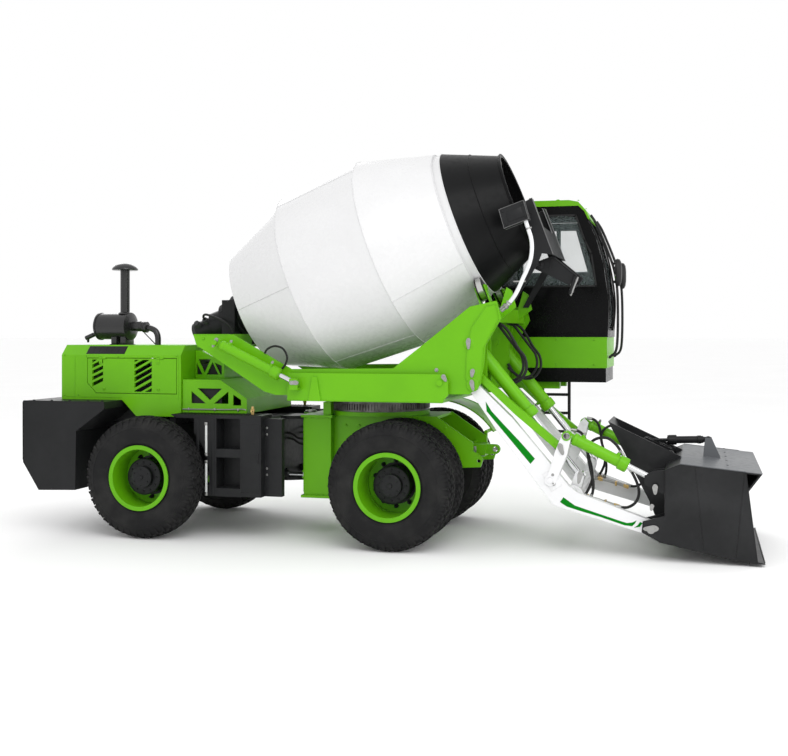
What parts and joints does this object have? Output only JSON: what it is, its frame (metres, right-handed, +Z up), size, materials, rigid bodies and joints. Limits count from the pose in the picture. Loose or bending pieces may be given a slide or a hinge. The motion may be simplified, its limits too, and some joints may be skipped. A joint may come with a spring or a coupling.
{
  "type": "self-loading concrete mixer",
  "caption": "articulated wheeled concrete mixer with a slewing platform, tilting drum, side cab and front loader bucket that feeds the drum",
  "frame": {"origin": "on the ground under the middle of the bounding box", "axes": "+X forward to the bucket, +Y left to the cab, +Z up"},
  "size_m": [6.32, 2.5065, 3.3274],
  "materials": {
    "tyre": "matt black rubber",
    "green_paint": "glossy lime green enamel",
    "black_paint": "satin black enamel",
    "white_paint": "glossy white enamel",
    "chrome": "ground hard chrome",
    "steel": "zinc plated and turned steel",
    "engine_iron": "painted casting",
    "glass": "clear safety glass",
    "seat_fabric": "black woven cloth and plastic",
    "white_rubber": "white smooth hose"
  },
  "bodies": {
    "front_frame": {"front_frame": "green_paint", "tow_eye": "steel", "front_axle": "black_paint", "left_mudguard": "green_paint", "slew_ring": "black_paint"},
    "rear_frame": {"rear_frame": "black_paint", "rear_box": "black_paint", "engine_hood": "green_paint", "engine": "engine_iron", "truss_guards": "green_paint", "side_tanks": "black_paint", "air_cleaner": "black_paint", "rear_axle": "black_paint"},
    "front_right_wheel": {"front_right_tyres": "tyre", "front_right_wheel": "green_paint"},
    "front_left_wheel": {"front_left_tyres": "tyre", "front_left_wheel": "green_paint"},
    "rear_right_wheel": {"rear_right_tyre": "tyre", "rear_right_wheel": "green_paint"},
    "rear_left_wheel": {"rear_left_tyre": "tyre", "rear_left_wheel": "green_paint"},
    "hood_right_door": {"hood_right_door": "green_paint"},
    "hood_left_door": {"hood_left_door": "green_paint"},
    "right_steering_barrel": {"right_steering_barrel": "black_paint"},
    "right_steering_rod": {"right_steering_rod": "chrome"},
    "left_steering_barrel": {"left_steering_barrel": "black_paint"},
    "left_steering_rod": {"left_steering_rod": "chrome"},
    "turntable": {"turntable": "green_paint", "cab_floor": "black_paint", "cab_skirt": "green_paint", "cab_frame": "black_paint", "cab_roof": "green_paint", "cab_glass": "glass", "driver_station": "seat_fabric", "cab_rails": "black_paint"},
    "cab_door": {"cab_door": "black_paint", "cab_door_glass": "glass"},
    "drum_frame": {"drum_frame": "green_paint", "drum_drive": "black_paint", "hopper": "black_paint", "water_hose": "white_rubber"},
    "drum": {"drum_shell": "white_paint", "drum_mouth": "black_paint"},
    "left_drum_roller": {"left_drum_roller": "steel"},
    "right_drum_roller": {"right_drum_roller": "steel"},
    "discharge_chute": {"discharge_chute": "black_paint"},
    "tilt_barrels": {"tilt_barrels": "green_paint"},
    "tilt_rods": {"tilt_rods": "chrome"},
    "loader_arms": {"loader_arms": "white_paint"},
    "lift_barrels": {"lift_barrels": "green_paint"},
    "lift_rods": {"lift_rods": "chrome"},
    "rockers": {"rockers": "white_paint"},
    "levelling_links": {"levelling_links": "green_paint"},
    "bucket_barrels": {"bucket_barrels": "green_paint"},
    "bucket_rods": {"bucket_rods": "chrome"},
    "bucket_pins": {"bucket_pins": "steel"},
    "bucket": {"bucket": "black_paint"},
    "bucket_gate": {"bucket_gate": "black_paint"},
    "gate_barrel": {"gate_barrel": "black_paint"},
    "gate_rod": {"gate_rod": "chrome"}
  },
  "joints": [
    {"name": "steering", "type": "hinge", "parent": "front_frame", "child": "rear_frame", "pos_m": [-0.75, -0.311, 0.715], "axis": [0, 0, 1], "range_deg": [-30, 30]},
    {"name": "front_right_wheel_spin", "type": "hinge", "parent": "front_frame", "child": "front_right_wheel", "pos_m": [0.25, -0.946, 0.525], "axis": [0, 1, 0], "continuous": true},
    {"name": "rear_right_wheel_spin", "type": "hinge", "parent": "rear_frame", "child": "rear_right_wheel", "pos_m": [-1.97, -0.961, 0.525], "axis": [0, 1, 0], "continuous": true},
    {"name": "front_left_wheel_spin", "type": "hinge", "parent": "front_frame", "child": "front_left_wheel", "pos_m": [0.25, 0.324, 0.525], "axis": [0, 1, 0], "continuous": true},
    {"name": "rear_left_wheel_spin", "type": "hinge", "parent": "rear_frame", "child": "rear_left_wheel", "pos_m": [-1.97, 0.339, 0.525], "axis": [0, 1, 0], "continuous": true},
    {"name": "hood_right_door_hinge", "type": "hinge", "parent": "rear_frame", "child": "hood_right_door", "pos_m": [-2.255, -0.8315, 1.5375], "axis": [-1, 0, 0], "range_deg": [0, 75]},
    {"name": "hood_left_door_hinge", "type": "hinge", "parent": "rear_frame", "child": "hood_left_door", "pos_m": [-2.255, 0.2095, 1.5375], "axis": [1, 0, 0], "range_deg": [0, 75]},
    {"name": "right_steering_barrel_pivot", "type": "hinge", "parent": "rear_frame", "child": "right_steering_barrel", "pos_m": [-1.25, -0.511, 0.51], "axis": [0, 0, 1], "range_deg": [-2.6, 2.6]},
    {"name": "right_steering_rod_slide", "type": "slide", "parent": "right_steering_barrel", "child": "right_steering_rod", "axis": [1, 0, 0], "range_m": [-0.105, 0.105]},
    {"name": "left_steering_barrel_pivot", "type": "hinge", "parent": "rear_frame", "child": "left_steering_barrel", "pos_m": [-1.25, -0.111, 0.51], "axis": [0, 0, 1], "range_deg": [-2.6, 2.6]},
    {"name": "left_steering_rod_slide", "type": "slide", "parent": "left_steering_barrel", "child": "left_steering_rod", "axis": [1, 0, 0], "range_m": [-0.105, 0.105]},
    {"name": "slewing", "type": "hinge", "parent": "front_frame", "child": "turntable", "pos_m": [-0.09, -0.311, 1.199], "axis": [0, 0, 1], "range_deg": [-90, 90]},
    {"name": "cab_door_hinge", "type": "hinge", "parent": "turntable", "child": "cab_door", "pos_m": [0.8545, 1.2495, 2.185], "axis": [0, 0, 1], "range_deg": [0, 80]},
    {"name": "tilting", "type": "hinge", "parent": "turntable", "child": "drum_frame", "pos_m": [0.651, -0.311, 1.359], "axis": [0, 1, 0], "range_deg": [0, 15]},
    {"name": "drum_spin", "type": "hinge", "parent": "drum_frame", "child": "drum", "pos_m": [0.061, -0.311, 2.477], "axis": [0.9383, 0, 0.3458], "continuous": true},
    {"name": "right_roller_spin", "type": "hinge", "parent": "drum_frame", "child": "right_drum_roller", "pos_m": [0.91246, -0.711, 2.12728], "axis": [0.9383, 0, 0.3458], "continuous": true},
    {"name": "left_roller_spin", "type": "hinge", "parent": "drum_frame", "child": "left_drum_roller", "pos_m": [0.91246, 0.089, 2.12728], "axis": [0.9383, 0, 0.3458], "continuous": true},
    {"name": "chute_fold", "type": "hinge", "parent": "drum_frame", "child": "discharge_chute", "pos_m": [1.38, -0.311, 2.33], "axis": [0, 1, 0], "range_deg": [0, 35]},
    {"name": "tilt_barrel_pivot", "type": "hinge", "parent": "drum_frame", "child": "tilt_barrels", "pos_m": [-1.28, -0.311, 1.682], "axis": [0, 1, 0], "range_deg": [0, 17.1]},
    {"name": "tilt_rod_slide", "type": "slide", "parent": "tilt_barrels", "child": "tilt_rods", "axis": [0.9054, 0, -0.4246], "range_m": [0, 0.199]},
    {"name": "boom_lift", "type": "hinge", "parent": "drum_frame", "child": "loader_arms", "pos_m": [0.91, -0.311, 1.343], "axis": [0, -1, 0], "range_deg": [-3, 86]},
    {"name": "lift_barrel_pivot", "type": "hinge", "parent": "drum_frame", "child": "lift_barrels", "pos_m": [0.878, -0.311, 1.676], "axis": [0, -1, 0], "range_deg": [-2.9, 77.6]},
    {"name": "lift_rod_slide", "type": "slide", "parent": "lift_barrels", "child": "lift_rods", "axis": [0.6328, 0, -0.7743], "range_m": [-0.43, 0.017]},
    {"name": "link_pivot", "type": "hinge", "parent": "drum_frame", "child": "levelling_links", "pos_m": [0.91, -0.311, 1.44], "axis": [0, -1, 0], "range_deg": [-3.2, 86.5]},
    {"name": "rocker_pivot", "type": "hinge", "parent": "loader_arms", "child": "rockers", "pos_m": [1.53, -0.311, 0.594], "axis": [0, -1, 0], "range_deg": [-30.2, 1.2]},
    {"name": "bucket_pin_turn", "type": "hinge", "parent": "loader_arms", "child": "bucket_pins", "pos_m": [2.317, -0.311, 0.247], "axis": [0, -1, 0], "range_deg": [-30.2, 1.2]},
    {"name": "bucket_tip", "type": "hinge", "parent": "bucket_pins", "child": "bucket", "pos_m": [2.317, -0.311, 0.247], "axis": [0, 1, 0], "range_deg": [-24, 45]},
    {"name": "bucket_barrel_pivot", "type": "hinge", "parent": "rockers", "child": "bucket_barrels", "pos_m": [1.66, -0.311, 0.949], "axis": [0, -1, 0], "range_deg": [-1.2, 30.2]},
    {"name": "bucket_rod_slide", "type": "slide", "parent": "bucket_barrels", "child": "bucket_rods", "axis": [0.9004, 0, -0.435], "range_m": [-0.149, 0.277]},
    {"name": "gate_swing", "type": "hinge", "parent": "bucket", "child": "bucket_gate", "pos_m": [2.45, -0.311, 0.775], "axis": [0, -1, 0], "range_deg": [0, 20]},
    {"name": "gate_barrel_pivot", "type": "hinge", "parent": "bucket", "child": "gate_barrel", "pos_m": [2.75, -0.311, 0.88], "axis": [0, -1, 0], "range_deg": [-0.2, 8.4]},
    {"name": "gate_rod_slide", "type": "slide", "parent": "gate_barrel", "child": "gate_rod", "axis": [-0.9994, 0, -0.0353], "range_m": [-0.002, 0.029]}
  ],
  "couplings": [
    {"joint": "right_steering_barrel_pivot", "follows": "steering", "ratio": -0.0348},
    {"joint": "right_steering_rod_slide", "follows": "steering", "m_per_rad": -0.1948},
    {"joint": "left_steering_barrel_pivot", "follows": "steering", "ratio": -0.0348},
    {"joint": "left_steering_rod_slide", "follows": "steering", "m_per_rad": 0.1948},
    {"joint": "right_roller_spin", "follows": "drum_spin", "ratio": -6.811},
    {"joint": "left_roller_spin", "follows": "drum_spin", "ratio": -6.811},
    {"joint": "tilt_barrel_pivot", "follows": "tilting", "ratio": 1.126},
    {"joint": "tilt_rod_slide", "follows": "tilting", "m_per_rad": 0.752},
    {"joint": "lift_barrel_pivot", "follows": "boom_lift", "ratio": 0.9},
    {"joint": "lift_rod_slide", "follows": "boom_lift", "m_per_rad": -0.285},
    {"joint": "link_pivot", "follows": "boom_lift", "ratio": 1.003},
    {"joint": "rocker_pivot", "follows": "boom_lift", "ratio": -0.349},
    {"joint": "bucket_pin_turn", "follows": "boom_lift", "ratio": -0.349},
    {"joint": "bucket_barrel_pivot", "follows": "boom_lift", "ratio": 0.349},
    {"joint": "bucket_rod_slide", "follows": "bucket_tip", "m_per_rad": 0.35},
    {"joint": "gate_barrel_pivot", "follows": "gate_swing", "ratio": 0.409},
    {"joint": "gate_rod_slide", "follows": "gate_swing", "m_per_rad": 0.077}
  ]
}
